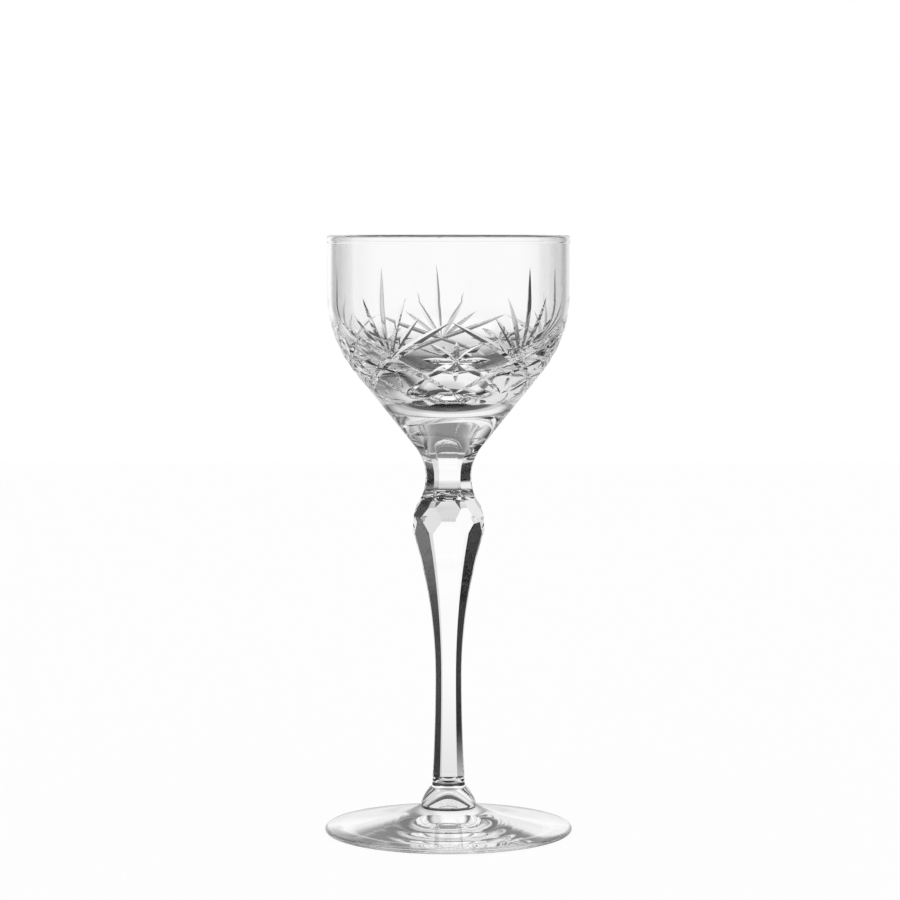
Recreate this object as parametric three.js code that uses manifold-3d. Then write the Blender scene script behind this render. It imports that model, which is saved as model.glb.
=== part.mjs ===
// A stemmed red wine glass of clear cut crystal, in millimetres, +Z up.
// The origin is the middle of the ring that the foot rests on, and the viewer stands at -Y.
// The glass is three gathers of glass that were joined hot: bowl, stem and foot.
// Everything that a wheel cut afterwards is cut here too: the hollow facets of the neck,
// the facets of the knop and shaft, and the mitre pattern of fans and stars on the bowl.
import * as THREE from 'three';
import { mergeVertices } from 'three/addons/utils/BufferGeometryUtils.js';
import Module from 'manifold-3d';

const wasm = await Module();
wasm.setup();

// Foot
const footRadius = 38.4;
const footEdgeThickness = 1.8;
const footEdgeRound = 1.0;
const footHeight = 8.4;
const flareReach = 5.1;
const flareHeight = 3.9;
const restRingWidth = 3.2;
const footHollowDepth = 1.2;

// Bell at the lower end of the stem
const bellRound = 13;
const bellFillet = 3;
const bellFootLean = 15;
const bellTopLean = 42;

// Shaft, with heights above the foot and distances from the axis to the middle of a facet
const stemLength = 109.6;
const facetRootGap = 0.65;
const facetRootLean = 40;
const rootSwell = 0.8;
const shaftWaistHeight = 39.6;
const shaftWaistReach = 3.66;
const kneeSwell = 7.58;

// Share of the way out to the corner of six meeting facets at which the round blank ends,
// so that a narrow round strip is left uncut between each two facets
const blankShare = 0.97;

// Knop and neck, with drops below the bowl
const kneeDrop = 19.5;
const kiteDepth = 1.89;
const kiteTopDrop = 18.9;
const kiteFootDrop = 24.1;
const cornerTopDrop = 16.4;
const shoulderTopDrop = 14.9;
const neckFootDrop = 17;
const neckWaistDrop = 7.5;
const neckRadius = 7.05;
const neckRound = 15.1;
const neckFacetDepth = 0.68;

// Bowl
const bowlRadius = 37.3;
const shoulderRound = 39.2;
const undersideLean = 38.94;
const straightWallHeight = 17.86;
const wallThickness = 1.3;
const cutWallThickness = 3.4;
const hollowLift = 2.5;
const lipHeight = 2.8;
const lipBead = 0.15;

// Mitre pattern on the bowl, with drops measured down from the rim
const fanDrop = 37.5;
const apexDrop = 25.5;
const latticeFootDrop = 47.4;
const smallFootDrop = 47.9;
const tallTipDrop = 9.2;
const innerTipDrop = 18.2;
const outerTipDrop = 24;
const starReach = 10.4;
const starRise = 6.4;
const smallLeafGap = 2;
const bladeHalfWidth = 0.85;
const rayHalfWidth = 1.15;
const diagonalHalfWidth = 1.15;
const cutProud = 0.35;

// Turns and counts
const motifCount = 5;
const stemSides = 6;
const starTurn = 4.2;
const neckTurn = -3.6;
const shaftTurn = 0.5;
const innerTipTurn = 12;
const outerTipTurn = 18.5;
const wheelHalfAngle = 55;

// Extra reach of every cutter past the glass that it cuts
const overrun = 4;

const roundSides = 60;
const full = 360;
const rightAngle = 90;
const halfTurn = 180;
const motifTurn = full / motifCount;
const sideTurn = full / stemSides;

const radians = (degrees) => THREE.MathUtils.degToRad(degrees);
const sin = (degrees) => Math.sin(radians(degrees));
const cos = (degrees) => Math.cos(radians(degrees));
const tan = (degrees) => Math.tan(radians(degrees));
const point = (reach, height) => new THREE.Vector2(reach, height);

// Points of an elliptic arc from one angle to another, in degrees.
function arc(centre, reach, rise, start, end, steps) {
  return Array.from({ length: steps + 1 }, (_, index) => {
    const angle = start + ((end - start) * index) / steps;
    return point(centre.x + reach * cos(angle), centre.y + rise * sin(angle));
  });
}

// A closed geometry as a solid, with its faces turned outward.
function solidOf(geometry) {
  geometry.deleteAttribute('normal');
  geometry.deleteAttribute('uv');
  const merged = mergeVertices(geometry);
  const places = merged.attributes.position;
  const at = (index) => new THREE.Vector3().fromBufferAttribute(places, index);
  const faces = [];
  let volume = 0;
  for (let first = 0; first < merged.index.count; first += 3) {
    const [a, b, c] = [0, 1, 2].map((step) => merged.index.getX(first + step));
    if (a !== b && b !== c && c !== a) {
      faces.push([a, b, c]);
      volume += at(a).dot(at(b).cross(at(c)));
    }
  }
  const outward = faces.map(([a, b, c]) => (volume < 0 ? [a, c, b] : [a, b, c]));
  return new wasm.Manifold(new wasm.Mesh({
    numProp: 3,
    vertProperties: new Float32Array(places.array),
    triVerts: new Uint32Array(outward.flat()),
  }));
}

function revolve(profile) {
  return solidOf(new THREE.LatheGeometry(profile, roundSides).rotateX(radians(rightAngle)));
}

// A flat-sided cutter: an outline of reach and height, as wide as the knop, facing an azimuth.
function facetCutter(outline, azimuth) {
  const width = 2 * cutterReach;
  const shape = new THREE.Shape(outline);
  const geometry = new THREE.ExtrudeGeometry(shape, { depth: width, bevelEnabled: false });
  const place = new THREE.Matrix4().makeBasis(
    new THREE.Vector3(0, -1, 0),
    new THREE.Vector3(0, 0, 1),
    new THREE.Vector3(-1, 0, 0),
  );
  geometry.applyMatrix4(place);
  geometry.translate(width / 2, 0, 0);
  return solidOf(geometry.rotateZ(radians(azimuth)));
}

function cutAll(solid, cutters) {
  return cutters.reduce((left, cutter) => left.subtract(cutter), solid);
}

function aroundStem(turn, makeCutter) {
  return Array.from({ length: stemSides }, (_, side) => makeCutter(turn + side * sideTurn));
}

const crystal = new THREE.MeshStandardMaterial({
  color: 0xf2f5f5,
  roughness: 0.03,
  metalness: 0,
  transparent: true,
  opacity: 0.45,
});

function piece(name, solid) {
  const { vertProperties, triVerts } = solid.getMesh();
  const geometry = new THREE.BufferGeometry();
  geometry.setAttribute('position', new THREE.BufferAttribute(vertProperties, 3));
  geometry.setIndex(new THREE.BufferAttribute(triVerts, 1));
  geometry.computeVertexNormals();
  const mesh = new THREE.Mesh(geometry, crystal);
  mesh.name = name;
  return mesh;
}

// Heights above the table
const seamHeight = footHeight + stemLength;
const onFoot = (rise) => footHeight + rise;
const underBowl = (drop) => seamHeight - drop;

// Distance from the axis to the middle of a shaft facet. A large wheel cut each stretch of it:
// from the waist up to the knee of the knop, and from the waist down to the root on the bell.
const bellRise = bellRound * (sin(bellTopLean) - sin(bellFootLean)) + bellFillet * sin(bellTopLean);
const rootHeight = onFoot(bellRise + facetRootGap);
const waistHeight = onFoot(shaftWaistHeight);
const kneeHeight = underBowl(kneeDrop);
const wheelFor = (length, swell) => (length ** 2 + swell ** 2) / (2 * swell);
const upperWheel = wheelFor(kneeHeight - waistHeight, kneeSwell);
const lowerWheel = wheelFor(waistHeight - rootHeight, rootSwell);
function shaftReach(height) {
  const wheel = height > waistHeight ? upperWheel : lowerWheel;
  return shaftWaistReach + wheel - Math.sqrt(wheel ** 2 - (height - waistHeight) ** 2);
}
function neckReach(height) {
  const rise = height - underBowl(neckWaistDrop);
  return neckRadius + neckRound - Math.sqrt(neckRound ** 2 - rise ** 2);
}
const blankReach = (height) => (blankShare * shaftReach(height)) / cos(sideTurn / 2);
const cutterReach = blankReach(kneeHeight) + overrun;

// Outside radius of the bell where it sits on the foot
const bellSwell = bellRound * (cos(bellFootLean) - cos(bellTopLean)) + bellFillet * (1 - cos(bellTopLean));
const bellRadius = blankReach(rootHeight) + bellSwell;

// Outside of the bowl: hollow round of the neck, straight underside, round shoulder, straight wall
const neckCentre = point(neckRadius + neckRound, underBowl(neckWaistDrop));
const undersideReach = cos(undersideLean) * neckCentre.x - sin(undersideLean) * neckCentre.y;
const undersideOffset = undersideReach - neckRound;
const shoulderReach = bowlRadius - shoulderRound;
const shoulderCentre = point(
  shoulderReach,
  (cos(undersideLean) * shoulderReach + shoulderRound - undersideOffset) / sin(undersideLean),
);
const rimHeight = shoulderCentre.y + straightWallHeight;
const neckTop = neckCentre.y + neckRound * sin(undersideLean);
const shoulderFoot = shoulderCentre.y - shoulderRound * sin(undersideLean);

// Hollow of the bowl: half an ellipse that leaves the wall under the cuts its thickness
const hollowReach = bowlRadius - wallThickness;
const hollowHeight = shoulderCentre.y + hollowLift;
const hollowSupport = sin(undersideLean) * hollowHeight + undersideOffset - cutWallThickness;
const hollowSpan = Math.sqrt(hollowSupport ** 2 - (hollowReach * cos(undersideLean)) ** 2);
const hollowRise = hollowSpan / sin(undersideLean);

function outsideReach(height) {
  if (height > shoulderCentre.y) return bowlRadius;
  const drop = shoulderCentre.y - height;
  if (height > shoulderFoot) return shoulderCentre.x + Math.sqrt(shoulderRound ** 2 - drop ** 2);
  if (height > neckTop) return (undersideOffset + sin(undersideLean) * height) / cos(undersideLean);
  return neckReach(height);
}

// Lean of the outside surface from upright, in degrees, at a height
function outsideLean(height) {
  if (height > shoulderCentre.y) return 0;
  if (height > shoulderFoot) {
    return THREE.MathUtils.radToDeg(Math.asin((shoulderCentre.y - height) / shoulderRound));
  }
  return undersideLean;
}

function foot() {
  const edgeCentre = point(footRadius - footEdgeRound, footEdgeThickness / 2);
  const ringInside = edgeCentre.x - restRingWidth;
  const hollow = (share) => point(ringInside * share, footHollowDepth * (1 - share ** 2));
  const hollowShares = [0, 0.25, 0.5, 0.75, 1];
  const flare = new THREE.QuadraticBezierCurve(
    point(edgeCentre.x, footEdgeThickness),
    point(bellRadius + flareReach, flareHeight),
    point(bellRadius, footHeight),
  );
  const flareSteps = 9;
  const edgeSteps = 5;
  return revolve([
    ...hollowShares.map(hollow),
    ...arc(edgeCentre, footEdgeRound, edgeCentre.y, -rightAngle, rightAngle, edgeSteps),
    ...flare.getPoints(flareSteps).slice(1),
    point(0, footHeight),
  ]);
}

// Angle of a height on the round of the neck, as seen from the middle of that round
function neckAngle(height) {
  return halfTurn - THREE.MathUtils.radToDeg(Math.asin((height - neckCentre.y) / neckRound));
}

// Round blank of the stem: bell, shaft, knop and neck
function stemBlank() {
  const bellCentre = point(
    bellRadius - bellRound * cos(bellFootLean),
    footHeight - bellRound * sin(bellFootLean),
  );
  const bellSteps = 6;
  const bell = arc(bellCentre, bellRound, bellRound, bellFootLean, bellTopLean, bellSteps);
  const bellTop = bell[bell.length - 1];
  const bellFilletCentre = point(
    bellTop.x + bellFillet * cos(bellTopLean),
    bellTop.y + bellFillet * sin(bellTopLean),
  );
  const filletSteps = 4;
  const bellWaist = arc(
    bellFilletCentre, bellFillet, bellFillet, halfTurn + bellTopLean, halfTurn, filletSteps,
  );
  const shaftShares = [0.1, 0.4, 0.7, 1];
  const shaft = shaftShares.map((share) => {
    const height = rootHeight + (kneeHeight - rootHeight) * share;
    return point(blankReach(height), height);
  });
  const neckFootAngle = neckAngle(underBowl(neckFootDrop));
  const neckSteps = 10;
  return revolve([
    point(0, footHeight),
    ...bell,
    ...bellWaist.slice(1),
    ...shaft,
    ...arc(neckCentre, neckRound, neckRound, neckFootAngle, neckAngle(seamHeight), neckSteps),
    point(0, seamHeight),
  ]);
}

// Hollow facets of the neck, cut by a small wheel across stem and bowl alike. They leave narrow
// strips of the round neck between them.
function neckWheels() {
  const wheelSides = 60;
  return aroundStem(neckTurn, (azimuth) => {
    const wheel = new THREE.CylinderGeometry(neckRound, neckRound, 2 * cutterReach, wheelSides);
    wheel.rotateZ(radians(rightAngle));
    wheel.translate(0, neckFacetDepth - neckCentre.x, neckCentre.y);
    return solidOf(wheel.rotateZ(radians(azimuth)));
  });
}

// Long facets of the shaft, from the knop's shoulder down to their slanted ends on the bell
function shaftFacets() {
  const endHeight = rootHeight - overrun * tan(rightAngle - facetRootLean);
  const topHeight = kneeHeight + overrun / 2;
  const lowShares = [0, 0.25, 0.5, 0.75];
  const highShares = [0, 0.15, 0.3, 0.45, 0.6, 0.75, 0.9, 1];
  const heights = [
    ...lowShares.map((share) => rootHeight + (waistHeight - rootHeight) * share),
    ...highShares.map((share) => waistHeight + (topHeight - waistHeight) * share),
  ];
  const outline = [
    point(cutterReach, endHeight),
    point(shaftReach(rootHeight) + overrun, endHeight),
    ...heights.map((height) => point(shaftReach(height), height)),
    point(cutterReach, topHeight),
  ];
  return aroundStem(shaftTurn, (azimuth) => facetCutter(outline, azimuth));
}

// A flat facet through two points of reach and height, run on past both
function flatFacet(low, high, azimuth) {
  const along = high.clone().sub(low).normalize().multiplyScalar(overrun / 2);
  const start = low.clone().sub(along);
  const end = high.clone().add(along);
  return facetCutter([start, end, point(cutterReach, end.y), point(cutterReach, start.y)], azimuth);
}

// Knop: six facets over the shaft facets, and between them a corner facet above a small kite
function knopFacets() {
  const shoulderTopHeight = underBowl(shoulderTopDrop);
  const cornerTopHeight = underBowl(cornerTopDrop);
  const kiteFootHeight = underBowl(kiteFootDrop);
  const knee = point(shaftReach(kneeHeight), kneeHeight);
  const shoulderTop = point(neckReach(shoulderTopHeight) - neckFacetDepth, shoulderTopHeight);
  const cornerTop = point(neckReach(cornerTopHeight), cornerTopHeight);
  const kiteTop = point(blankReach(kneeHeight) - kiteDepth, underBowl(kiteTopDrop));
  const kiteFoot = point(blankReach(kiteFootHeight), kiteFootHeight);
  const cornerTurn = shaftTurn + sideTurn / 2;
  return [
    ...aroundStem(shaftTurn, (azimuth) => flatFacet(knee, shoulderTop, azimuth)),
    ...aroundStem(cornerTurn, (azimuth) => flatFacet(kiteTop, cornerTop, azimuth)),
    ...aroundStem(cornerTurn, (azimuth) => flatFacet(kiteFoot, kiteTop, azimuth)),
  ];
}

function bowlBlank() {
  const neckSteps = 3;
  const shoulderSteps = 7;
  const lipCentre = point(bowlRadius - wallThickness / 2, rimHeight - lipHeight / 2);
  const lipReach = wallThickness / 2 + lipBead;
  const lipSide = THREE.MathUtils.radToDeg(Math.acos(wallThickness / 2 / lipReach));
  const lipSteps = 6;
  const hollowCentre = point(0, hollowHeight);
  const hollowSteps = 8;
  return revolve([
    point(0, seamHeight),
    ...arc(neckCentre, neckRound, neckRound, neckAngle(seamHeight), halfTurn - undersideLean, neckSteps),
    ...arc(shoulderCentre, shoulderRound, shoulderRound, -undersideLean, 0, shoulderSteps),
    ...arc(lipCentre, lipReach, lipHeight / 2, -lipSide, halfTurn + lipSide, lipSteps),
    ...arc(hollowCentre, hollowReach, hollowRise, 0, -rightAngle, hollowSteps),
  ]);
}

// A mitre cut: a V-shaped groove along a line that is straight in turn and height, or hangs below
// that line by a bow. Its depth follows a lens, so that it is pointed at both ends. A higher
// fullness keeps the middle even.
function mitreCut({ from, to, halfWidth, fullness = 2, bow = 0, shares }) {
  const depth = halfWidth / tan(wheelHalfAngle);
  const corners = [];
  for (const share of shares) {
    const turn = from.turn + (to.turn - from.turn) * share;
    const height = from.height + (to.height - from.height) * share - 4 * bow * share * (1 - share);
    const lens = 1 - Math.abs(2 * share - 1) ** fullness;
    const reach = outsideReach(height);
    const lean = outsideLean(height);
    const radial = new THREE.Vector3(sin(turn), -cos(turn), 0);
    const normal = radial.clone().multiplyScalar(cos(lean)).setZ(-sin(lean));
    const place = radial.clone().multiplyScalar(reach).setZ(height);
    const climb = to.height - from.height - 4 * bow * (1 - 2 * share);
    const around = radians(to.turn - from.turn) * reach;
    const across = new THREE.Vector3(cos(turn), sin(turn), 0);
    const up = radial.clone().multiplyScalar(sin(lean)).setZ(cos(lean));
    const along = across.clone().multiplyScalar(around).addScaledVector(up, climb / cos(lean)).normalize();
    const side = new THREE.Vector3().crossVectors(normal, along);
    const spread = (depth * lens + cutProud) * tan(wheelHalfAngle);
    corners.push(place.clone().addScaledVector(normal, -depth * lens));
    corners.push(place.clone().addScaledVector(normal, cutProud).addScaledVector(side, spread));
    corners.push(place.clone().addScaledVector(normal, cutProud).addScaledVector(side, -spread));
  }
  const faces = [[0, 2, 1]];
  for (let ring = 0; ring < corners.length - 3; ring += 3) {
    for (const [a, b] of [[0, 1], [1, 2], [2, 0]]) {
      faces.push([ring + a, ring + b, ring + 3 + b], [ring + a, ring + 3 + b, ring + 3 + a]);
    }
  }
  const last = corners.length - 3;
  faces.push([last, last + 1, last + 2]);
  const geometry = new THREE.BufferGeometry().setFromPoints(corners);
  geometry.setIndex(faces.flat());
  return solidOf(geometry);
}

// The cuts of one repeat, as turns from the middle of its star and heights
function motifCuts() {
  const half = motifTurn / 2;
  const spot = (turn, drop) => ({ turn, height: rimHeight - drop });
  const leafShares = [-0.04, 0.2, 0.5, 0.8, 1.04];
  const longShares = [-0.02, 0.05, 0.15, 0.26, 0.38, 0.5, 0.62, 0.74, 0.85, 0.95, 1.02];
  const leaf = (from, to, halfWidth) => ({ from, to, halfWidth, shares: leafShares });
  const star = spot(0, fanDrop);
  const cuts = [];
  for (const side of [-1, 1]) {
    const fan = spot(side * half, fanDrop);
    // Broad diagonal from the apex over this star, past the fan, to the foot under the next star
    cuts.push({
      from: spot(0, apexDrop),
      to: spot(2 * side * half, latticeFootDrop),
      halfWidth: diagonalHalfWidth,
      fullness: 4,
      bow: fanDrop - (apexDrop + latticeFootDrop) / 2,
      shares: longShares,
    });
    // Long lower ray of the star, past the diagonal that comes down from the other side
    const meet = (latticeFootDrop - fanDrop) / (latticeFootDrop + smallFootDrop - 2 * fanDrop);
    const crossing = spot(side * half * meet, fanDrop + (smallFootDrop - fanDrop) * meet);
    cuts.push(leaf(star, crossing, rayHalfWidth));
    cuts.push(leaf(crossing, spot(side * half, smallFootDrop), bladeHalfWidth));
    // Level and rising rays of the star
    const rayTurn = THREE.MathUtils.radToDeg(starReach / outsideReach(star.height));
    const rayShares = [[1, 0.06], [0.72, 0.84]];
    for (const [turnShare, riseShare] of rayShares) {
      const tip = { turn: side * rayTurn * turnShare, height: star.height + starRise * riseShare };
      cuts.push(leaf(star, tip, rayHalfWidth));
    }
    // The two blades of this fan that lean towards the star
    cuts.push(leaf(fan, spot(side * (half - innerTipTurn), innerTipDrop), bladeHalfWidth));
    cuts.push(leaf(fan, spot(side * (half - outerTipTurn), outerTipDrop), bladeHalfWidth));
  }
  for (const rise of [starRise, -starRise]) {
    cuts.push(leaf(star, { turn: 0, height: star.height + rise }, bladeHalfWidth));
  }
  // Tall blade of the fan, and the short leaf in the small diamond under it
  cuts.push(leaf(spot(half, fanDrop), spot(half, tallTipDrop), bladeHalfWidth));
  const leafTop = spot(half, fanDrop + smallLeafGap);
  const leafFoot = spot(half, smallFootDrop - smallLeafGap);
  cuts.push(leaf(leafTop, leafFoot, bladeHalfWidth));
  return cuts;
}

function patternCutters() {
  const cutters = [];
  for (let motif = 0; motif < motifCount; motif += 1) {
    const turn = starTurn + motif * motifTurn;
    const turned = (place) => ({ turn: place.turn + turn, height: place.height });
    for (const cut of motifCuts()) {
      cutters.push(mitreCut({ ...cut, from: turned(cut.from), to: turned(cut.to) }));
    }
  }
  return cutters;
}

const group = new THREE.Group();
group.add(piece('foot', foot()));
group.add(piece('stem', cutAll(stemBlank(), [...neckWheels(), ...shaftFacets(), ...knopFacets()])));
group.add(piece('bowl', cutAll(bowlBlank(), [...neckWheels(), ...patternCutters()])));

export default group;
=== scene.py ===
# %% [markdown]
# # A cut crystal wine glass
#
# The glass is one body of clear crystal, made from three gathers: a bowl, a stem and a foot.
# Nothing on it has a colour, so its whole look comes from how it bends what stands around it.
# That asks for three things: exact surfaces, crisp edges where a wheel cut the glass, and
# surroundings with both bright and dark parts. This lesson builds them in that order.
#
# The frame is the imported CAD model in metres. Each fine piece stands exactly where its node does.

# %% The frame
import math

import bmesh
import bpy
import numpy as np
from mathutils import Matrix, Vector


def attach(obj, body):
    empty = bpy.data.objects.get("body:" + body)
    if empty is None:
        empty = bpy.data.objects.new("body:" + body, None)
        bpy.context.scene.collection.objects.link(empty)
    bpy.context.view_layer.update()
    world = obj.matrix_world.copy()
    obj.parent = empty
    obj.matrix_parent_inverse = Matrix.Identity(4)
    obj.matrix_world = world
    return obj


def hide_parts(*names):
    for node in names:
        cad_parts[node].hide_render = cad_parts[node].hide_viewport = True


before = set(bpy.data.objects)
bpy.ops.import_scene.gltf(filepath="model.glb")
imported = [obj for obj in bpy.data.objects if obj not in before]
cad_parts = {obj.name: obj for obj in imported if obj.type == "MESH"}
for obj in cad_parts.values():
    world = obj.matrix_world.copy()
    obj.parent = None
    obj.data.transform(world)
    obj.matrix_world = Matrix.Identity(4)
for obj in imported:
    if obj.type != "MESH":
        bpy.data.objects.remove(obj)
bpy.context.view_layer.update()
scene = bpy.context.scene
scene.view_settings.view_transform = "Standard"
print("CAD nodes:", sorted(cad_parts))

# %% [markdown]
# ## The camera
#
# The picture is 900 pixels square. The ellipses of the rim and the foot say how steeply the
# camera looks down, and how fast things shrink with distance says how far away it stands.
# A long lens from almost a metre away keeps the stem straight, as in a catalogue picture.

# %% Camera
camera_distance = 0.971
camera_height = 0.18915
camera_side = 0.00046
camera_pitch = math.radians(4.145)
focal_pixels = 3152
picture_pixels = 900
sensor_mm = 36

camera_data = bpy.data.cameras.new("camera")
camera_data.sensor_width = sensor_mm
camera_data.lens = focal_pixels * sensor_mm / picture_pixels
camera = bpy.data.objects.new("camera", camera_data)
camera.location = (camera_side, -camera_distance, camera_height)
camera.rotation_euler = (math.pi / 2 - camera_pitch, 0, 0)
scene.collection.objects.link(camera)
scene.camera = camera
print("lens in mm:", round(camera_data.lens, 1))

# %% [markdown]
# ## Shader maths as plain expressions
#
# A node tree is easier to read as a formula. This small class wraps a socket, so that a sum
# of two values adds the Math node that works it out. Any other node comes from one method,
# which takes the node's type, its settings and what goes into its sockets.

# %% Sockets that can be added and multiplied
class Value:
    """One output socket of a node tree."""

    def __init__(self, tree, socket):
        self.tree = tree
        self.socket = socket

    def maths(self, operation, first, second=None):
        inputs = {0: first} if second is None else {0: first, 1: second}
        return self.tree.node("ShaderNodeMath", {"operation": operation}, inputs).out()

    def __add__(self, other):
        return self.maths("ADD", self, other)

    def __radd__(self, other):
        return self.maths("ADD", other, self)

    def __sub__(self, other):
        return self.maths("SUBTRACT", self, other)

    def __rsub__(self, other):
        return self.maths("SUBTRACT", other, self)

    def __mul__(self, other):
        return self.maths("MULTIPLY", self, other)

    def __rmul__(self, other):
        return self.maths("MULTIPLY", other, self)

    def apply(self, operation, other=None):
        return self.maths(operation, self, other)

    def step(self, start, end):
        """0 below start, 1 above end, and smooth between them."""
        settings = {"interpolation_type": "SMOOTHSTEP"}
        inputs = {"Value": self, "From Min": start, "From Max": end}
        return self.tree.node("ShaderNodeMapRange", settings, inputs).out()


class Made:
    """A node that has been added, with its outputs by name or number."""

    def __init__(self, tree, node):
        self.tree = tree
        self.node = node

    def out(self, name=0):
        return Value(self.tree, self.node.outputs[name])


class Tree:
    """A node tree that is written from scratch."""

    def __init__(self, owner):
        owner.use_nodes = True
        self.nodes = owner.node_tree.nodes
        self.links = owner.node_tree.links
        self.nodes.clear()

    def node(self, kind, settings=None, inputs=None):
        node = self.nodes.new(kind)
        for name, setting in (settings or {}).items():
            setattr(node, name, setting)
        for name, value in (inputs or {}).items():
            if isinstance(value, Value):
                self.links.new(value.socket, node.inputs[name])
            else:
                node.inputs[name].default_value = value
        return Made(self, node)


# %% [markdown]
# ## The sizes of the glass
#
# These are the driving sizes, in millimetres, as the drawing gives them. Heights are above the
# table, reaches are distances from the axis, and leans are in degrees from upright. Everything
# else is worked out from them.

# %% Driving sizes
foot_radius = 38.4
foot_edge_thickness = 1.8
foot_edge_round = 1.0
foot_height = 8.4
flare_reach = 5.1
flare_height = 3.9
rest_ring_width = 3.2
foot_hollow_depth = 1.2

bell_round = 13
bell_fillet = 3
bell_foot_lean = 15
bell_top_lean = 42

stem_length = 109.6
facet_root_gap = 0.65
facet_root_lean = 40
root_swell = 0.8
shaft_waist_height = 39.6
shaft_waist_reach = 3.66
knee_swell = 7.58
blank_share = 0.97

knee_drop = 19.5
kite_depth = 1.89
kite_top_drop = 18.9
kite_foot_drop = 24.1
corner_top_drop = 16.4
shoulder_top_drop = 14.9
neck_foot_drop = 17
neck_waist_drop = 7.5
neck_radius = 7.05
neck_round = 15.1
neck_facet_depth = 0.68

bowl_radius = 37.3
shoulder_round = 39.2
underside_lean = 38.94
straight_wall_height = 17.86
wall_thickness = 1.3
hollow_sink = 1.6
hollow_shoulder_round = 26.3
hollow_lean = 56.7
hollow_tip_round = 36.4
lip_height = 2.8
lip_bead = 0.15
lip_fullness = 3

stem_sides = 6
neck_turn = -3.6
shaft_turn = 0.5
side_turn = 360 / stem_sides
overrun = 4

# %% [markdown]
# ## Outlines as formulas
#
# A round surface is an outline turned about the axis, and an outline is a few arcs and lines.
# Degrees are kept throughout, because the drawing gives its angles so.

# %% Angles, points and arcs
def sin(degrees):
    return math.sin(math.radians(degrees))


def cos(degrees):
    return math.cos(math.radians(degrees))


def tan(degrees):
    return math.tan(math.radians(degrees))


def arc(centre, reach, rise, start, end, steps, fullness=2):
    """Points of an elliptic arc from one angle to another. Above 2, fullness squares it up."""
    points = []
    for angle in np.linspace(start, end, steps + 1):
        across = math.copysign(abs(cos(angle)) ** (2 / fullness), cos(angle))
        upward = math.copysign(abs(sin(angle)) ** (2 / fullness), sin(angle))
        points.append((centre[0] + reach * across, centre[1] + rise * upward))
    return points


def sagitta(radius, length):
    """How far a circle has left its tangent after a length."""
    return radius - math.sqrt(radius**2 - length**2)


def wheel_for(length, swell):
    """Radius of the wheel whose cut rises by swell over a length."""
    return (length**2 + swell**2) / (2 * swell)


# %% [markdown]
# The stem hangs together by its heights. From the seam with the foot they go up over the bell,
# the roots of the long facets and the waist of the shaft to the knee, where the knop begins.

# %% Heights and reaches of the stem
seam_height = foot_height + stem_length
bell_rise = bell_round * (sin(bell_top_lean) - sin(bell_foot_lean))
bell_rise += bell_fillet * sin(bell_top_lean)
root_height = foot_height + bell_rise + facet_root_gap
waist_height = foot_height + shaft_waist_height
knee_height = seam_height - knee_drop
upper_wheel = wheel_for(knee_height - waist_height, knee_swell)
lower_wheel = wheel_for(waist_height - root_height, root_swell)


def shaft_reach(height):
    """Distance from the axis to the middle of a shaft facet."""
    wheel = upper_wheel if height > waist_height else lower_wheel
    return shaft_waist_reach + sagitta(wheel, height - waist_height)


def neck_reach(height):
    """Radius of the round neck."""
    return neck_radius + sagitta(neck_round, height - (seam_height - neck_waist_drop))


def blank_reach(height):
    """Radius of the round blank of the shaft."""
    return blank_share * shaft_reach(height) / cos(side_turn / 2)


bell_swell = bell_round * (cos(bell_foot_lean) - cos(bell_top_lean))
bell_swell += bell_fillet * (1 - cos(bell_top_lean))
bell_radius = blank_reach(root_height) + bell_swell
print("bell radius:", round(bell_radius, 2), "facet roots at", round(root_height, 2))

# %% [markdown]
# Outside, the bowl is a hollow curve at the neck, a straight cone and a round shoulder that runs
# into an upright wall. Inside, the hollow is a round shoulder, a straight cone and a round tip.
# The solid glass between the two is what makes the dark arc and the pale band in the bottom.

# %% Heights and reaches of the bowl
neck_centre = (neck_radius + neck_round, seam_height - neck_waist_drop)
underside_offset = cos(underside_lean) * neck_centre[0] - sin(underside_lean) * neck_centre[1]
underside_offset -= neck_round
shoulder_reach = bowl_radius - shoulder_round
shoulder_height = cos(underside_lean) * shoulder_reach + shoulder_round - underside_offset
shoulder_height /= sin(underside_lean)
shoulder_foot = shoulder_height - shoulder_round * sin(underside_lean)
rim_height = shoulder_height + straight_wall_height
hollow_reach = bowl_radius - wall_thickness
hollow_height = shoulder_height - hollow_sink
hollow_shoulder = (hollow_reach - hollow_shoulder_round, hollow_height)
cone_top_reach = hollow_reach - hollow_shoulder_round * (1 - cos(hollow_lean))
cone_top_height = hollow_height - hollow_shoulder_round * sin(hollow_lean)
cone_foot_reach = hollow_tip_round * cos(hollow_lean)
cone_foot_height = cone_top_height - (cone_top_reach - cone_foot_reach) / tan(hollow_lean)
tip_centre = (0, cone_foot_height + hollow_tip_round * sin(hollow_lean))


def outside_reach(height):
    """Radius of the bowl's uncut outside."""
    if height > shoulder_height:
        return bowl_radius
    if height > shoulder_foot:
        return bowl_radius - sagitta(shoulder_round, shoulder_height - height)
    return (underside_offset + sin(underside_lean) * height) / cos(underside_lean)


def outside_lean(height):
    """Lean of the bowl's outside from upright."""
    if height > shoulder_height:
        return 0
    if height > shoulder_foot:
        return math.degrees(math.asin((shoulder_height - height) / shoulder_round))
    return underside_lean


hollow_bottom = tip_centre[1] - hollow_tip_round
print("rim height:", round(rim_height, 2), "hollow bottom:", round(hollow_bottom, 2))

# %% [markdown]
# ## Meshes from outlines
#
# An outline turned about the axis is a lathe. Lathes, wheels and flat stones are all that a
# glass cutter has, and they are all that is built here. The sizes are in millimetres until
# the mesh is made, which is in metres.

# %% Closed meshes
mm = 0.001
round_sides = 288


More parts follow.
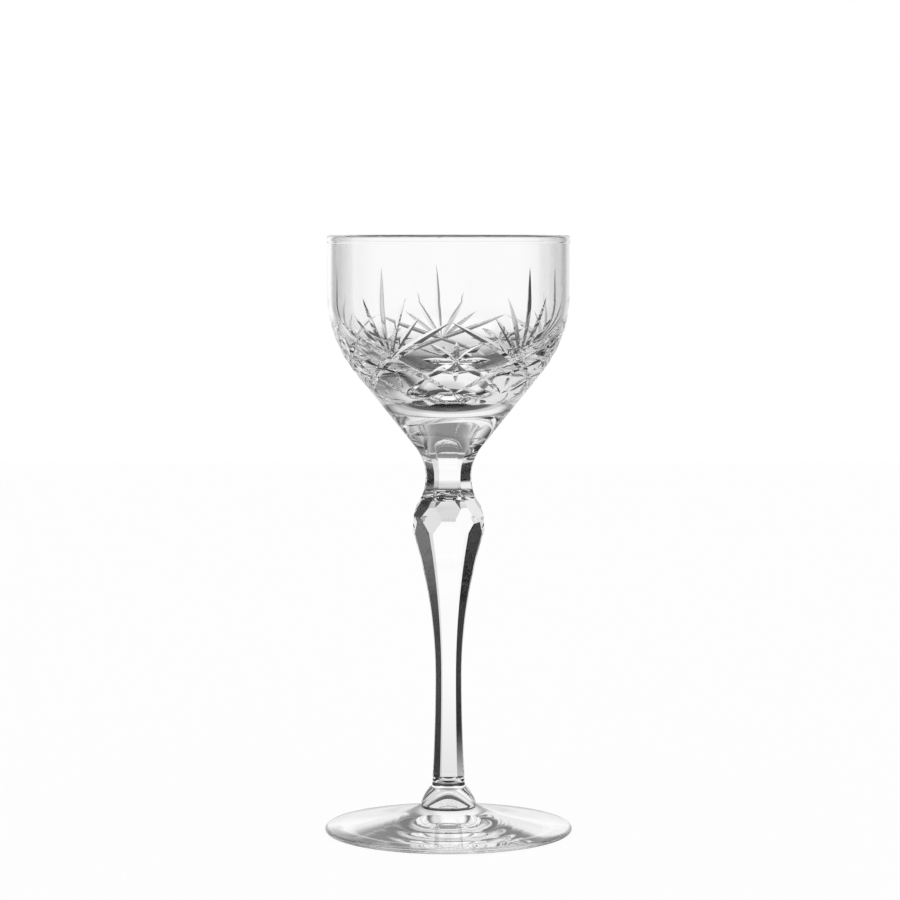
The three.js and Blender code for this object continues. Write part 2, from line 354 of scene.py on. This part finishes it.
def mesh_object(name, points, faces):
    """A mesh object from points in millimetres, with its faces turned outward."""
    mesh = bpy.data.meshes.new(name)
    mesh.from_pydata([tuple(mm * c for c in p) for p in points], [], faces)
    shape = bmesh.new()
    shape.from_mesh(mesh)
    bmesh.ops.recalc_face_normals(shape, faces=shape.faces)
    shape.to_mesh(mesh)
    shape.free()
    obj = bpy.data.objects.new(name, mesh)
    scene.collection.objects.link(obj)
    return obj


def lathe(name, outline):
    """A round solid. The outline starts and ends on the axis."""
    points = [(0, 0, outline[0][1])]
    faces = []
    rings = outline[1:-1]
    for reach, height in rings:
        for side in range(round_sides):
            turn = 360 * side / round_sides
            points.append((reach * cos(turn), reach * sin(turn), height))
    points.append((0, 0, outline[-1][1]))
    last = len(points) - 1
    for side in range(round_sides):
        after = (side + 1) % round_sides
        faces.append((0, 1 + side, 1 + after))
        for ring in range(len(rings) - 1):
            low = 1 + ring * round_sides
            high = low + round_sides
            faces.append((low + side, high + side, high + after, low + after))
        faces.append((last, last - round_sides + after, last - round_sides + side))
    return mesh_object(name, points, faces)


def prism(name, outline, width, azimuth):
    """A cutter: an outline of reach and height, drawn out sideways, facing an azimuth."""
    points = []
    across = (cos(azimuth), sin(azimuth))
    out = (sin(azimuth), -cos(azimuth))
    for side in (-width / 2, width / 2):
        for reach, height in outline:
            x = out[0] * reach + across[0] * side
            y = out[1] * reach + across[1] * side
            points.append((x, y, height))
    count = len(outline)
    faces = [tuple(range(count)), tuple(range(2 * count - 1, count - 1, -1))]
    for index in range(count):
        after = (index + 1) % count
        faces.append((index, index + count, after + count, after))
    return mesh_object(name, points, faces)


# %% [markdown]
# A boolean takes all the cutters out of a blank at once, as if every wheel had been there
# together. The cut faces keep the cutters' material, so they can be told from the uncut glass.

# %% Cutting
def cut(blank, cutters, cut_material):
    """Takes every cutter out of the blank. The faces that the cutters leave get cut_material."""
    blank.data.materials.append(cut_material)
    bench = bpy.data.collections.new("cutters")
    for cutter in cutters:
        cutter.data.materials.append(cut_material)
        bench.objects.link(cutter)
    modifier = blank.modifiers.new("cut", "BOOLEAN")
    modifier.operation = "DIFFERENCE"
    modifier.solver = "MANIFOLD"
    modifier.material_mode = "TRANSFER"
    modifier.operand_type = "COLLECTION"
    modifier.collection = bench
    bpy.context.view_layer.update()
    result = blank.evaluated_get(bpy.context.evaluated_depsgraph_get())
    mesh = bpy.data.meshes.new_from_object(result)
    blank.modifiers.clear()
    blank.data = mesh
    for cutter in cutters:
        bpy.data.objects.remove(cutter)
    bpy.data.collections.remove(bench)
    print(blank.name, "cutters:", len(cutters))


# %% [markdown]
# ## Clean normals
#
# Glass shows every wrong normal as a ripple. A boolean cut leaves long thin triangles whose
# averaged normals wander, so the uncut surface gets its normals from the outline that it was
# turned from. The cut faces are averaged among themselves, with every real edge kept sharp.

# %% Normals from the outline
crease_angle = math.radians(6)
outline_crease = 0.97
search_batch = 20000
axis_guard = 1e-6


def read_values(items, name, width=1, kind=np.float32):
    """One property of all the corners, points or faces of a mesh, as an array."""
    values = np.empty(len(items) * width, kind)
    items.foreach_get(name, values)
    return values.reshape(-1, width) if width > 1 else values


def outline_normals(outline):
    """Start and end normals of each stretch of an outline, smooth where it bends gently."""
    points = np.array(outline)
    along = np.diff(points, axis=0)
    along /= np.linalg.norm(along, axis=1, keepdims=True)
    flat = np.stack([along[:, 1], -along[:, 0]], axis=1)
    start, end = flat.copy(), flat.copy()
    for index in range(len(flat) - 1):
        if flat[index] @ flat[index + 1] > outline_crease:
            shared = flat[index] + flat[index + 1]
            shared /= np.linalg.norm(shared)
            end[index] = shared
            start[index + 1] = shared
    return points[:-1], points[1:], flat, start, end


def smooth_round(obj, outline, round_slot=0):
    """Sharp real edges, and exact normals on the faces that the lathe left."""
    mesh = obj.data
    mesh.shade_smooth()
    mesh.set_sharp_from_angle(angle=crease_angle)
    normals = read_values(mesh.corner_normals, "vector", 3).astype(float)
    corner_point = read_values(mesh.loops, "vertex_index", kind=np.int32)
    places = read_values(mesh.vertices, "co", 3)[corner_point] / mm
    slots = read_values(mesh.polygons, "material_index", kind=np.int32)
    sizes = read_values(mesh.polygons, "loop_total", kind=np.int32)
    face_normals = np.repeat(read_values(mesh.polygons, "normal", 3), sizes, axis=0)
    chosen = np.nonzero(np.repeat(slots, sizes) == round_slot)[0]
    low, high, flat, start, end = outline_normals(outline)
    for first in range(0, len(chosen), search_batch):
        corners = chosen[first : first + search_batch]
        at = places[corners]
        radius = np.hypot(at[:, 0], at[:, 1])
        radial = at[:, :2] / np.maximum(radius, axis_guard)[:, None]
        spot = np.stack([radius, at[:, 2]], axis=1)
        facing = face_normals[corners]
        facing = np.stack([np.sum(facing[:, :2] * radial, axis=1), facing[:, 2]], axis=1)
        span = high - low
        share = np.sum((spot[:, None] - low) * span, axis=2) / np.sum(span * span, axis=1)
        share = np.clip(share, 0, 1)
        gap = np.linalg.norm(spot[:, None] - low - share[..., None] * span, axis=2)
        turned = 1 - facing @ flat.T
        best = np.argmin(gap + turned, axis=1)
        share = share[np.arange(len(best)), best][:, None]
        normal = start[best] * (1 - share) + end[best] * share
        normal /= np.linalg.norm(normal, axis=1, keepdims=True)
        normals[corners, :2] = radial * normal[:, :1]
        normals[corners, 2] = normal[:, 1]
    mesh.normals_split_custom_set([tuple(n) for n in normals])
    print(obj.name, "triangles:", sum(sizes) - 2 * len(sizes))


# %% [markdown]
# ## Crystal
#
# Lead crystal bends light a little more than window glass does, so its index is 1.54. It is
# written on the Principled shader as full transmission, with a colour a trace under white, as
# even clear glass keeps a little of the light. Shadow rays and the floor's soft light are let
# straight through, because bent paths to the light are too rare to be found by chance, and
# without this the glass would cast the shadow of a stone. No lamp stands in this scene.
#
# A real glass is never quite even. Slow waves in the surface and a slightly uneven polish come
# from noise, far too small to see as a pattern.

# %% Crystal materials
crystal_index = 1.54
crystal_colour = (0.997, 0.997, 0.997, 1)
open_way_colour = (0.95, 0.95, 0.95, 1)
wave_detail = 1.0
polish_detail = 3.0
polish_waves = 3


def crystal(name, roughness_low, roughness_high, wave_size, wave_height):
    """Clear crystal with a faint waviness and a little uneven polish."""
    material = bpy.data.materials.new(name)
    tree = Tree(material)
    place = tree.node("ShaderNodeTexCoord").out("Object")
    waves = tree.node(
        "ShaderNodeTexNoise",
        None,
        {"Vector": place, "Scale": 1 / wave_size, "Detail": wave_detail},
    ).out("Fac")
    polish = tree.node(
        "ShaderNodeTexNoise",
        None,
        {"Vector": place, "Scale": polish_waves / wave_size, "Detail": polish_detail},
    ).out("Fac")
    bump = tree.node(
        "ShaderNodeBump", None, {"Height": waves, "Distance": wave_height, "Strength": 1.0}
    ).out("Normal")
    glass = tree.node(
        "ShaderNodeBsdfPrincipled",
        None,
        {
            "Base Color": crystal_colour,
            "Roughness": roughness_low + (roughness_high - roughness_low) * polish,
            "IOR": crystal_index,
            "Transmission Weight": 1.0,
            "Normal": bump,
        },
    ).out("BSDF")
    open_way = tree.node(
        "ShaderNodeBsdfTransparent", None, {"Color": open_way_colour}
    ).out("BSDF")
    path = tree.node("ShaderNodeLightPath")
    soft_light = path.out("Is Shadow Ray").apply("MAXIMUM", path.out("Is Diffuse Ray"))
    surface = tree.node("ShaderNodeMixShader", None, {0: soft_light, 1: glass, 2: open_way}).out()
    tree.node("ShaderNodeOutputMaterial", None, {"Surface": surface})
    print("material:", material.name, "index", crystal_index)
    return material


fire_polished = crystal(
    "fire_polished_crystal",
    roughness_low=0.0,
    roughness_high=0.012,
    wave_size=0.011,
    wave_height=0.000012,
)
wheel_cut = crystal(
    "wheel_cut_crystal",
    roughness_low=0.0,
    roughness_high=0.01,
    wave_size=0.006,
    wave_height=0.000004,
)

# %% [markdown]
# The seams between bowl, stem and foot were fused in the fire, so there is no surface in there
# to see. Each piece is still a closed body, and its flat seam face is fully clear.

# %% Fused seam
fused_seam = bpy.data.materials.new("fused_seam")
seam_tree = Tree(fused_seam)
seam_shader = seam_tree.node(
    "ShaderNodeBsdfTransparent", None, {"Color": (1, 1, 1, 1)}
).out("BSDF")
seam_tree.node("ShaderNodeOutputMaterial", None, {"Surface": seam_shader})
flat_enough = 0.999
seam_tolerance = 0.001


def clear_seams(obj, heights, slot):
    """Gives the flat faces at the seam heights the clear material."""
    obj.data.materials.append(fused_seam)
    count = 0
    for face in obj.data.polygons:
        flat = abs(face.normal.z) > flat_enough
        gaps = [abs(face.center.z / mm - height) for height in heights]
        if flat and min(gaps) < seam_tolerance:
            face.material_index = slot
            count += 1
    print(obj.name, "seam faces:", count)


# %% [markdown]
# ## Foot
#
# The foot was a small gather, dropped on the end of the stem and spun flat. Its top flows up
# towards the bell, its edge is fire-rounded, and its underside is slightly hollow.

# %% Foot
foot_hollow_points = 24
flare_points = 37


def foot_outline():
    edge = (foot_radius - foot_edge_round, foot_edge_thickness / 2)
    ring_inside = edge[0] - rest_ring_width
    hollow = [
        (ring_inside * share, foot_hollow_depth * (1 - share**2))
        for share in np.linspace(0, 1, foot_hollow_points)
    ]
    edge_arc = arc(edge, foot_edge_round, edge[1], -90, 90, steps=20)
    corners = [
        (edge[0], foot_edge_thickness),
        (bell_radius + flare_reach, flare_height),
        (bell_radius, foot_height),
    ]
    flare = []
    for share in np.linspace(0, 1, flare_points)[1:]:
        weights = ((1 - share) ** 2, 2 * share * (1 - share), share**2)
        flare.append(tuple(sum(w * c[axis] for w, c in zip(weights, corners)) for axis in (0, 1)))
    return [*hollow, *edge_arc, *flare, (0, foot_height)]


foot = lathe("crystal_foot", foot_outline())
foot.data.materials.append(fire_polished)
smooth_round(foot, foot_outline())
clear_seams(foot, [foot_height], 1)

# %% [markdown]
# ## Stem
#
# The stem begins as a round blank, and then wheels take facets off it: hollow ones round the
# neck, long ones down the shaft, and small flat ones on the knop. Where the facets meet they
# make the kites and corners by themselves, so none of those is drawn.

# %% Round blank of the stem
shaft_start_share = 0.08
shaft_points = 40


def neck_angle(height):
    """Where a height lies on the hollow curve of the neck, in degrees."""
    return 180 - math.degrees(math.asin((height - neck_centre[1]) / neck_round))


def stem_outline():
    bell_centre = (
        bell_radius - bell_round * cos(bell_foot_lean),
        foot_height - bell_round * sin(bell_foot_lean),
    )
    bell = arc(bell_centre, bell_round, bell_round, bell_foot_lean, bell_top_lean, steps=20)
    fillet_centre = (
        bell[-1][0] + bell_fillet * cos(bell_top_lean),
        bell[-1][1] + bell_fillet * sin(bell_top_lean),
    )
    waist = arc(fillet_centre, bell_fillet, bell_fillet, 180 + bell_top_lean, 180, steps=14)
    shaft = []
    for share in np.linspace(shaft_start_share, 1, shaft_points):
        height = root_height + (knee_height - root_height) * share
        shaft.append((blank_reach(height), height))
    foot_angle = neck_angle(seam_height - neck_foot_drop)
    neck = arc(neck_centre, neck_round, neck_round, foot_angle, neck_angle(seam_height), steps=48)
    return [(0, foot_height), *bell, *waist[1:], *shaft, *neck, (0, seam_height)]


# %% [markdown]
# Each cutter is drawn in side view and then made wide. The neck facets come from a whole wheel,
# the shaft facets from two big wheels that meet at the waist, and the knop's from a flat stone.

# %% Facet cutters
cutter_reach = blank_reach(knee_height) + overrun
lower_facet_points = 40
upper_facet_points = 70


def around_stem(turn, make_cutter):
    return [make_cutter(turn + side * side_turn) for side in range(stem_sides)]


def neck_wheel(azimuth):
    centre = (neck_centre[0] - neck_facet_depth, neck_centre[1])
    wheel = arc(centre, neck_round, neck_round, 0, 360, steps=360)[:-1]
    return prism("neck_wheel", wheel, 2 * cutter_reach, azimuth)


def shaft_facet(azimuth):
    end_height = root_height - overrun * tan(90 - facet_root_lean)
    top_height = knee_height + overrun / 2
    heights = [
        *np.linspace(root_height, waist_height, lower_facet_points)[:-1],
        *np.linspace(waist_height, top_height, upper_facet_points),
    ]
    outline = [
        (cutter_reach, end_height),
        (shaft_reach(root_height) + overrun, end_height),
        *[(shaft_reach(height), height) for height in heights],
        (cutter_reach, top_height),
    ]
    return prism("shaft_facet", outline, 2 * cutter_reach, azimuth)


def flat_facet(low, high, azimuth):
    """A flat facet through two points of reach and height, run on past both."""
    low, high = Vector(low), Vector(high)
    along = (high - low).normalized() * (overrun / 2)
    start, end = low - along, high + along
    outline = [tuple(start), tuple(end), (cutter_reach, end.y), (cutter_reach, start.y)]
    return prism("flat_facet", outline, 2 * cutter_reach, azimuth)


def knop_facets():
    shoulder_top_height = seam_height - shoulder_top_drop
    corner_top_height = seam_height - corner_top_drop
    kite_foot_height = seam_height - kite_foot_drop
    knee = (shaft_reach(knee_height), knee_height)
    shoulder_top = (neck_reach(shoulder_top_height) - neck_facet_depth, shoulder_top_height)
    corner_top = (neck_reach(corner_top_height), corner_top_height)
    kite_top = (blank_reach(knee_height) - kite_depth, seam_height - kite_top_drop)
    kite_foot = (blank_reach(kite_foot_height), kite_foot_height)
    corner_turn = shaft_turn + side_turn / 2
    return [
        *around_stem(shaft_turn, lambda azimuth: flat_facet(knee, shoulder_top, azimuth)),
        *around_stem(corner_turn, lambda azimuth: flat_facet(kite_top, corner_top, azimuth)),
        *around_stem(corner_turn, lambda azimuth: flat_facet(kite_foot, kite_top, azimuth)),
    ]


# %% Stem
stem = lathe("crystal_stem", stem_outline())
stem.data.materials.append(fire_polished)
stem_cutters = [
    *around_stem(neck_turn, neck_wheel),
    *around_stem(shaft_turn, shaft_facet),
    *knop_facets(),
]
cut(stem, stem_cutters, wheel_cut)
smooth_round(stem, stem_outline())
clear_seams(stem, [foot_height, seam_height], 2)

# %% [markdown]
# ## Bowl
#
# The bowl was blown thin at the lip and thick below, where the cutter needs depth. The pattern
# is a traditional one of mitre cuts: stars, fans, and broad diagonals that cross into a lattice.
# A mitre wheel has a V-shaped rim, so each cut is a V that deepens and runs out again in a point.
#
# The pattern repeats five times round the bowl, but it was cut by hand and eye. The points of
# the lattice and the tall blades of the fans slip a few degrees from the even spacing. The two
# lists of slips were partly read off the photograph, and are guesses where it shows nothing, as
# on the far side of the lattice.

# %% Pattern sizes
fan_drop = 37.5
apex_drop = 25.5
lattice_foot_drop = 47.4
small_foot_drop = 47.9
tall_tip_drop = 9.2
inner_tip_drop = 18.2
outer_tip_drop = 24
star_reach = 10.4
star_rise = 6.4
small_leaf_gap = 2
blade_half_width = 0.85
ray_half_width = 1.15
diagonal_half_width = 1.15
cut_proud = 0.35
motif_count = 5
apex_slips = (-3, -1.8, 1.2, -1, 3.8)
fan_slips = (0.6, -0.8, 2, 0.5, -0.6)
star_ray_shares = ((1, 0.06), (0.72, 0.84))
star_turn = 4.2
inner_tip_turn = 12
outer_tip_turn = 18.5
wheel_half_angle = 55
motif_turn = 360 / motif_count
print("repeats:", motif_count, "every", motif_turn, "degrees")

# %% [markdown]
# A mitre cut is a chain of small triangles that follows the bowl's outside. At each step the
# triangle's point sinks to the depth of the cut there, and its base stays just outside the glass.

# %% One mitre cut
def mitre_cut(start, end, half_width, fullness=2, steps=36, run_out=0.04, bow=0):
    """A V-shaped cutter along a line that is straight in turn and height, or hangs by a bow."""
    depth = half_width / tan(wheel_half_angle)
    points = []
    shares = np.linspace(-run_out, 1 + run_out, steps + 1)
    for share in shares:
        turn = start[0] + (end[0] - start[0]) * share
        height = start[1] + (end[1] - start[1]) * share - 4 * bow * share * (1 - share)
        climb = end[1] - start[1] - 4 * bow * (1 - 2 * share)
        reach, lean = outside_reach(height), outside_lean(height)
        radial = Vector((sin(turn), -cos(turn), 0))
        across = Vector((cos(turn), sin(turn), 0))
        normal = radial * cos(lean) - Vector((0, 0, sin(lean)))
        up = radial * sin(lean) + Vector((0, 0, cos(lean)))
        around = math.radians(end[0] - start[0]) * reach
        along = (across * around + up * (climb / cos(lean))).normalized()
        side = normal.cross(along)
        lens = 1 - abs(2 * share - 1) ** fullness
        spread = (depth * lens + cut_proud) * tan(wheel_half_angle)
        place = radial * reach + Vector((0, 0, height))
        points.append(place - normal * depth * lens)
        points.append(place + normal * cut_proud + side * spread)
        points.append(place + normal * cut_proud - side * spread)
    faces = [(0, 2, 1)]
    for ring in range(0, len(points) - 3, 3):
        for a, b in ((0, 1), (1, 2), (2, 0)):
            faces.append((ring + a, ring + b, ring + 3 + b, ring + 3 + a))
    last = len(points) - 3
    faces.append((last, last + 1, last + 2))
    return mesh_object("mitre_cut", points, faces)


# %% The cuts of one repeat
def motif_cuts(turn, apex_slip, fan_slip):
    """Cutters of one star and the fan beside it. Turns are counted from the star's middle."""
    half = motif_turn / 2

    def spot(turned, drop):
        return (turn + turned, rim_height - drop)

    star = spot(0, fan_drop)
    bow = fan_drop - (apex_drop + lattice_foot_drop) / 2
    meet = (lattice_foot_drop - fan_drop) / (lattice_foot_drop + small_foot_drop - 2 * fan_drop)
    cuts = []
    for side in (-1, 1):
        fan = spot(side * half, fan_drop)
        foot_spot = spot(2 * side * half, lattice_foot_drop)
        apex = spot(apex_slip, apex_drop)
        diagonal = mitre_cut(
            apex, foot_spot, diagonal_half_width, fullness=4, steps=90, run_out=0.02, bow=bow
        )
        cuts.append(diagonal)
        crossing = spot(side * half * meet, fan_drop + (small_foot_drop - fan_drop) * meet)
        cuts.append(mitre_cut(star, crossing, ray_half_width))
        cuts.append(mitre_cut(crossing, spot(side * half, small_foot_drop), blade_half_width))
        ray_turn = math.degrees(star_reach / outside_reach(star[1]))
        for turn_share, rise_share in star_ray_shares:
            tip = (turn + side * ray_turn * turn_share, star[1] + star_rise * rise_share)
            cuts.append(mitre_cut(star, tip, ray_half_width))
        for tip_turn, tip_drop in (
            (inner_tip_turn, inner_tip_drop),
            (outer_tip_turn, outer_tip_drop),
        ):
            tip = spot(side * (half - tip_turn), tip_drop)
            cuts.append(mitre_cut(fan, tip, blade_half_width))
    for rise in (star_rise, -star_rise):
        cuts.append(mitre_cut(star, (turn, star[1] + rise), blade_half_width))
    tall_tip = spot(half + fan_slip, tall_tip_drop)
    cuts.append(mitre_cut(spot(half, fan_drop), tall_tip, blade_half_width))
    leaf_top = spot(half, fan_drop + small_leaf_gap)
    leaf_foot = spot(half, small_foot_drop - small_leaf_gap)
    cuts.append(mitre_cut(leaf_top, leaf_foot, blade_half_width))
    return cuts


# %% [markdown]
# The bowl's outline goes up the outside, over the lip and down into the hollow. The lip was cut
# off and melted round in the fire. It is a little squarer than an ellipse, which keeps the edge
# of the rim crisp.

# %% Bowl
def bowl_outline():
    lip_centre = (bowl_radius - wall_thickness / 2, rim_height - lip_height / 2)
    lip_reach = wall_thickness / 2 + lip_bead
    lip_side = math.degrees(math.acos((wall_thickness / 2 / lip_reach) ** (lip_fullness / 2)))
    shoulder_centre = (shoulder_reach, shoulder_height)
    neck_ends = (neck_angle(seam_height), 180 - underside_lean)
    lip_ends = (-lip_side, 180 + lip_side)
    inside = hollow_shoulder_round
    return [
        (0, seam_height),
        *arc(neck_centre, neck_round, neck_round, *neck_ends, steps=16),
        *arc(shoulder_centre, shoulder_round, shoulder_round, -underside_lean, 0, steps=44),
        *arc(lip_centre, lip_reach, lip_height / 2, *lip_ends, steps=60, fullness=lip_fullness),
        *arc(hollow_shoulder, inside, inside, 0, -hollow_lean, steps=60),
        *arc(tip_centre, hollow_tip_round, hollow_tip_round, -hollow_lean, -90, steps=40),
    ]


bowl = lathe("crystal_bowl", bowl_outline())
bowl.data.materials.append(fire_polished)
bowl_cutters = around_stem(neck_turn, neck_wheel)
for motif, (apex_slip, fan_slip) in enumerate(zip(apex_slips, fan_slips)):
    bowl_cutters += motif_cuts(star_turn + motif * motif_turn, apex_slip, fan_slip)
cut(bowl, bowl_cutters, wheel_cut)
smooth_round(bowl, bowl_outline())
clear_seams(bowl, [seam_height], 2)

# %% [markdown]
# ## Floor and light
#
# A plain pale floor carries the soft shadow. The share of it that glows is seen by the camera
# alone, so that it looks as white as the ground behind it and lights nothing.
#
# The floor is hidden from bent and mirrored light. The glass shows the room of the next step
# instead, which gives it dark edges from the front and from the sides. The price is seen from
# high above, where the foot shows the room's dark table and looks almost black on white.

# %% Floor
floor_half_size = 1.5
floor_drop = 0.0001
floor_corners = ((-1, -1), (1, -1), (1, 1), (-1, 1))
floor_mesh = bpy.data.meshes.new("floor")
floor_mesh.from_pydata(
    [(side * floor_half_size, deep * floor_half_size, 0) for side, deep in floor_corners],
    [],
    [(0, 1, 2, 3)],
)
floor = bpy.data.objects.new("floor", floor_mesh)
floor.location.z = -floor_drop
scene.collection.objects.link(floor)
floor.visible_transmission = False
floor.visible_glossy = False
floor_material = bpy.data.materials.new("pale_floor")
floor_tree = Tree(floor_material)
floor_pale = 0.9
glow_share = 0.7
glow_level = (1 - (1 - glow_share) * floor_pale) / glow_share
floor_paint = floor_tree.node(
    "ShaderNodeBsdfDiffuse", None, {"Color": (floor_pale,) * 3 + (1,)}
).out()
floor_glow = floor_tree.node(
    "ShaderNodeEmission", None, {"Color": (1, 1, 1, 1), "Strength": glow_level}
).out()
seen = floor_tree.node("ShaderNodeLightPath").out("Is Camera Ray")
floor_mix = floor_tree.node(
    "ShaderNodeMixShader", None, {0: seen * glow_share, 1: floor_paint, 2: floor_glow}
).out()
floor_tree.node("ShaderNodeOutputMaterial", None, {"Surface": floor_mix})
floor.data.materials.append(floor_material)
print("floor glow:", round(glow_level, 3))

# %% [markdown]
# Clear glass is drawn by what stands around it. The room is a formula of two angles: the turn is
# 0 straight behind the glass and grows to the right, and the rise goes from -1 below to 1 above.
# Behind the glass is a bright backdrop with a brighter middle, with dark flags at its sides for
# the dark edges, and a narrow strip of light stands on each side. A pale wall and a pale table
# are on the camera's side, and a dark table is behind. Two soft panels at the left give the
# views from the right a bright ground.
#
# The levels and edges below were found by trial against the photograph, in the front view. They
# are one room that makes this glass look so, and not a record of the real one. The camera and
# the floor see plain white instead of the room.

# %% Surroundings
flag_level = 0.01
backdrop_level = 0.74
backdrop_left_edge = (-42, -25)
backdrop_right_edge = (40, 23)
core_level = 0.24
core_edge = (17, 7)
right_flag_level = 0.02
right_flag_edge = (23, 40)
strip_level = 0.3
strip_inner_edge = (65, 71)
strip_outer_edge = (77, 71)
front_wall_level = 0.8
front_wall_edge = (70, 112)
low_ring_share = 0.68
low_ring_edge = (-0.3, -0.12)
table_level = 0.09
table_edge = (-0.85, -0.5)
front_table_edge = (126, 134)
front_table_low_edge = (-0.95, -0.85)
ceiling_level = 0.62
ceiling_fall = 0.37
ceiling_edge = (0.75, 0.9)
table_start = (-0.34, -0.46)
ceiling_start = (0.7, 0.82)

world = bpy.data.worlds.new("studio")
scene.world = world
studio = Tree(world)
way = studio.node("ShaderNodeTexCoord").out("Generated")
parts = studio.node("ShaderNodeSeparateXYZ", None, {"Vector": way})
rise = parts.out("Z")
turn = parts.out("X").apply("ARCTAN2", parts.out("Y")) * math.degrees(1)
lift = rise.apply("ARCSINE") * math.degrees(1)
aside = turn.apply("ABSOLUTE")


def light_panel(turns, lifts, level, soft):
    """A soft-edged panel of light between two turns and two lifts, in degrees."""
    left, right = turns
    low, high = lifts
    across = turn.step(left - soft, left + soft) * turn.step(right + soft, right - soft)
    upward = lift.step(low - soft, low + soft) * lift.step(high + soft, high - soft)
    return across * upward * level


backdrop = turn.step(*backdrop_left_edge) * (
    backdrop_level * turn.step(*backdrop_right_edge) + core_level * turn.step(*core_edge)
)
right_flag = right_flag_level * turn.step(*right_flag_edge)
light_strip = strip_level * aside.step(*strip_inner_edge) * aside.step(*strip_outer_edge)
front_wall = front_wall_level * aside.step(*front_wall_edge)
walls = (flag_level + backdrop + right_flag + light_strip + front_wall).apply("MINIMUM", 1)
ring = walls * (low_ring_share + (1 - low_ring_share) * rise.step(*low_ring_edge))
back_table = table_level * rise.step(*table_edge)
table = back_table + aside.step(*front_table_edge) * rise.step(*front_table_low_edge)
ceiling = ceiling_level - ceiling_fall * rise.step(*ceiling_edge)
to_table = rise.step(*table_start)
to_ceiling = rise.step(*ceiling_start)
room = ring + (table - ring) * to_table + (ceiling - ring) * to_ceiling
low_panel = light_panel(turns=(-58, -30), lifts=(-42, -14), level=0.92, soft=3)
room = room.apply("MAXIMUM", low_panel)
side_panel = light_panel(turns=(-112, -74), lifts=(-25, 20), level=0.85, soft=4)
room = room.apply("MAXIMUM", side_panel)
path = studio.node("ShaderNodeLightPath")
flat_level = path.out("Is Camera Ray").apply("MAXIMUM", path.out("Is Diffuse Ray"))
level = room + (1 - room) * flat_level
ground = studio.node("ShaderNodeBackground", None, {"Color": (1, 1, 1, 1), "Strength": level}).out()
studio.node("ShaderNodeOutputWorld", None, {"Surface": ground})
print("nodes in the room's formula:", len(studio.nodes))

# %% [markdown]
# Light in cut glass is thrown to and fro many times before it comes out. Where it may turn too
# few times, the deep cuts go black.

# %% Bounces
glass_bounces = 48
open_way_bounces = 64
scene.cycles.max_bounces = glass_bounces
scene.cycles.transmission_bounces = glass_bounces
scene.cycles.glossy_bounces = glass_bounces
scene.cycles.transparent_max_bounces = open_way_bounces
scene.cycles.caustics_refractive = True
scene.cycles.caustics_reflective = True
print("bounces in the glass:", glass_bounces)

# %% [markdown]
# ## Joining the frame
#
# Each fine piece rides on the body that the CAD model stands on, takes the finish of its slot,
# and stands for its node.

# %% Pieces
for piece, node in ((foot, "foot"), (stem, "stem"), (bowl, "bowl")):
    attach(piece, "root")
    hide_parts(node)
